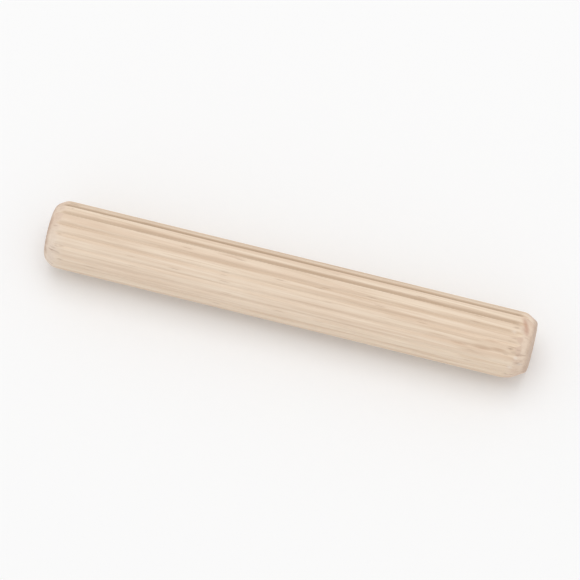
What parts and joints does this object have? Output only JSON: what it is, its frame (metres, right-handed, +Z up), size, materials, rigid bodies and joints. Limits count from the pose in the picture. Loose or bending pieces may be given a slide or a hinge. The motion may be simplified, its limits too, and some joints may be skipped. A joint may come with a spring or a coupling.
{
  "type": "dowel pin",
  "caption": "Straight fluted wooden dowel pin with chamfered ends, glued and pressed into facing holes to align and join wooden panels.",
  "frame": {"origin": "middle of the pin, on its axis", "axes": "+X along the pin, +Z up with the pin lying on a level surface"},
  "size_m": [0.06, 0.0082, 0.0082],
  "materials": {
    "pale_wood": "bare planed and fluted wood, matt, fine straight grain along the pin"
  },
  "bodies": {
    "root": {"dowel_pin": "pale_wood"}
  },
  "joints": []
}
